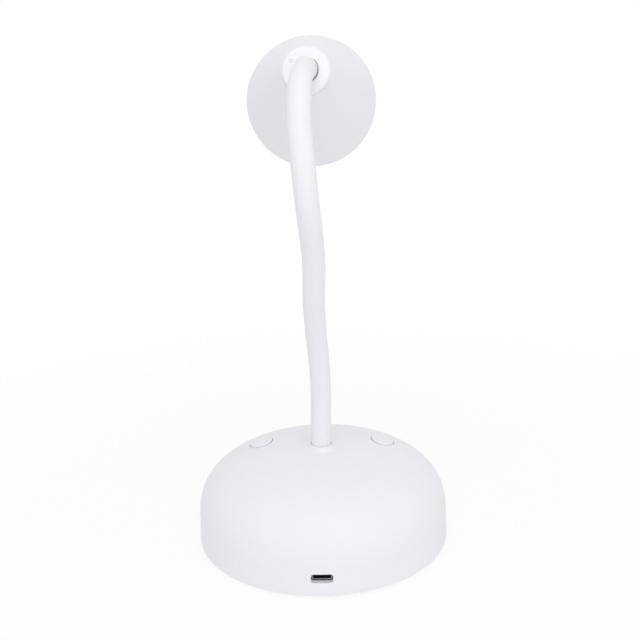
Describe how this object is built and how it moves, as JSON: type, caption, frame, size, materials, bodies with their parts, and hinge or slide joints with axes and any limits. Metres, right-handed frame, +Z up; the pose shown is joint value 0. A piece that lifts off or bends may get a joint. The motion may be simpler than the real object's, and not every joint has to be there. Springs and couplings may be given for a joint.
{
  "type": "gooseneck reading lamp",
  "caption": "Rechargeable reading lamp: weighted round dome base with press keys and a charging inlet, a bendable sleeved neck and a small conical head with a diffused front.",
  "frame": {"origin": "centre of the round underside of the foot pad, where the lamp stands", "axes": "+Z up, -Y towards the front, where the head shines; +Y the rear, with the charging inlet; +X to the lamp's left seen from behind"},
  "size_m": [0.1138, 0.116, 0.2218],
  "materials": {
    "white_abs": "fine satin moulded, cool white",
    "collar_gloss": "gloss moulded white",
    "pin_white": "moulded acetal",
    "silicone": "matte white silicone",
    "pad_rubber": "dark matte elastomer",
    "screw_steel": "zinc plated",
    "weight_steel": "black oxide sheet steel",
    "cell_wrap": "heat-shrunk film",
    "dark_plastic": "moulded",
    "board": "solder mask on glass-epoxy",
    "chip_black": "moulded epoxy",
    "lead_jacket": "PVC jacket",
    "lead_white": "PVC jacket",
    "hose_steel": "wound spring steel",
    "brass": "turned",
    "socket_steel": "stamped stainless",
    "aluminium": "stamped sheet",
    "led_yellow": "phosphor gel",
    "white_board": "white solder mask",
    "reflector_white": "gloss moulded white",
    "opal": "opal diffuser"
  },
  "bodies": {
    "base": {"base_shell": "white_abs", "bottom_plate": "white_abs", "foot_pad": "pad_rubber", "cover_screws": "screw_steel", "counterweight": "weight_steel", "weight_screws": "screw_steel", "battery_cell": "cell_wrap", "battery_cradle": "dark_plastic", "battery_leads": "lead_jacket", "control_board": "board", "board_components": "chip_black", "board_screws": "screw_steel", "switch_housings": "chip_black", "usb_board": "board", "usb_socket_shell": "socket_steel", "usb_socket_tongue": "chip_black", "charge_lead": "lead_jacket", "neck_fitting_lower": "brass", "neck_nut_lower": "screw_steel", "base_lead": "lead_white", "neck_sleeve_foot": "silicone", "neck_hose_foot": "hose_steel"},
    "power_button": {"power_button": "white_abs", "power_switch_plunger": "dark_plastic"},
    "mode_button": {"mode_button": "white_abs", "mode_switch_plunger": "dark_plastic"},
    "neck_link_1": {"neck_sleeve_1": "silicone", "neck_hose_1": "hose_steel", "neck_lead_1": "lead_white"},
    "neck_link_2": {"neck_sleeve_2": "silicone", "neck_hose_2": "hose_steel", "neck_lead_2": "lead_white"},
    "neck_link_3": {"neck_sleeve_3": "silicone", "neck_hose_3": "hose_steel", "neck_lead_3": "lead_white"},
    "neck_link_4": {"neck_sleeve_4": "silicone", "neck_hose_4": "hose_steel", "neck_lead_4": "lead_white"},
    "neck_link_5": {"neck_sleeve_5": "silicone", "neck_hose_5": "hose_steel", "neck_lead_5": "lead_white"},
    "neck_link_6": {"neck_sleeve_6": "silicone", "neck_hose_6": "hose_steel", "neck_lead_6": "lead_white"},
    "head": {"neck_sleeve_tip": "silicone", "neck_hose_tip": "hose_steel", "head_lead": "lead_white", "neck_fitting_upper": "brass", "neck_nut_upper": "screw_steel", "head_collar": "collar_gloss", "collar_pin": "pin_white", "head_shell": "white_abs", "heat_sink": "aluminium", "led_board": "white_board", "led_chips": "led_yellow", "head_screws": "screw_steel", "reflector": "reflector_white", "diffuser_lens": "opal", "front_ring": "white_abs"}
  },
  "joints": [
    {"name": "neck_bend_1", "type": "hinge", "parent": "base", "child": "neck_link_1", "pos_m": [0.00001, 0.00059, 0.05328], "axis": [1, -0.0087, 0], "range_deg": [-35, 35]},
    {"name": "neck_sway_2", "type": "hinge", "parent": "neck_link_1", "child": "neck_link_2", "pos_m": [0.00044, 0.00748, 0.08353], "axis": [0.004, 0.9392, -0.3434], "range_deg": [-35, 35]},
    {"name": "neck_bend_3", "type": "hinge", "parent": "neck_link_2", "child": "neck_link_3", "pos_m": [0.0009, 0.02157, 0.1112], "axis": [0.9999, -0.0087, -0.0122], "range_deg": [-35, 35]},
    {"name": "neck_sway_4", "type": "hinge", "parent": "neck_link_3", "child": "neck_link_4", "pos_m": [0.00136, 0.03782, 0.13772], "axis": [0.0011, 0.8527, -0.5225], "range_deg": [-35, 35]},
    {"name": "neck_bend_5", "type": "hinge", "parent": "neck_link_4", "child": "neck_link_5", "pos_m": [0.00182, 0.05083, 0.16564], "axis": [0.9999, -0.0087, -0.0122], "range_deg": [-40, 20]},
    {"name": "neck_sway_6", "type": "hinge", "parent": "neck_link_5", "child": "neck_link_6", "pos_m": [0.00209, 0.04211, 0.19461], "axis": [0.0146, 0.7638, 0.6453], "range_deg": [-35, 35]},
    {"name": "neck_bend_7", "type": "hinge", "parent": "neck_link_6", "child": "head", "pos_m": [0.00202, 0.015, 0.20804], "axis": [0.9999, -0.0087, -0.0122], "range_deg": [-40, 15]},
    {"name": "power_button_press", "type": "slide", "parent": "base", "child": "power_button", "axis": [0, 0, -1], "range_m": [0, 0.0003], "stiffness_N_per_m": 4000, "springref_m": -0.0001},
    {"name": "mode_button_press", "type": "slide", "parent": "base", "child": "mode_button", "axis": [0, 0, -1], "range_m": [0, 0.0003], "stiffness_N_per_m": 4000, "springref_m": -0.0001}
  ]
}
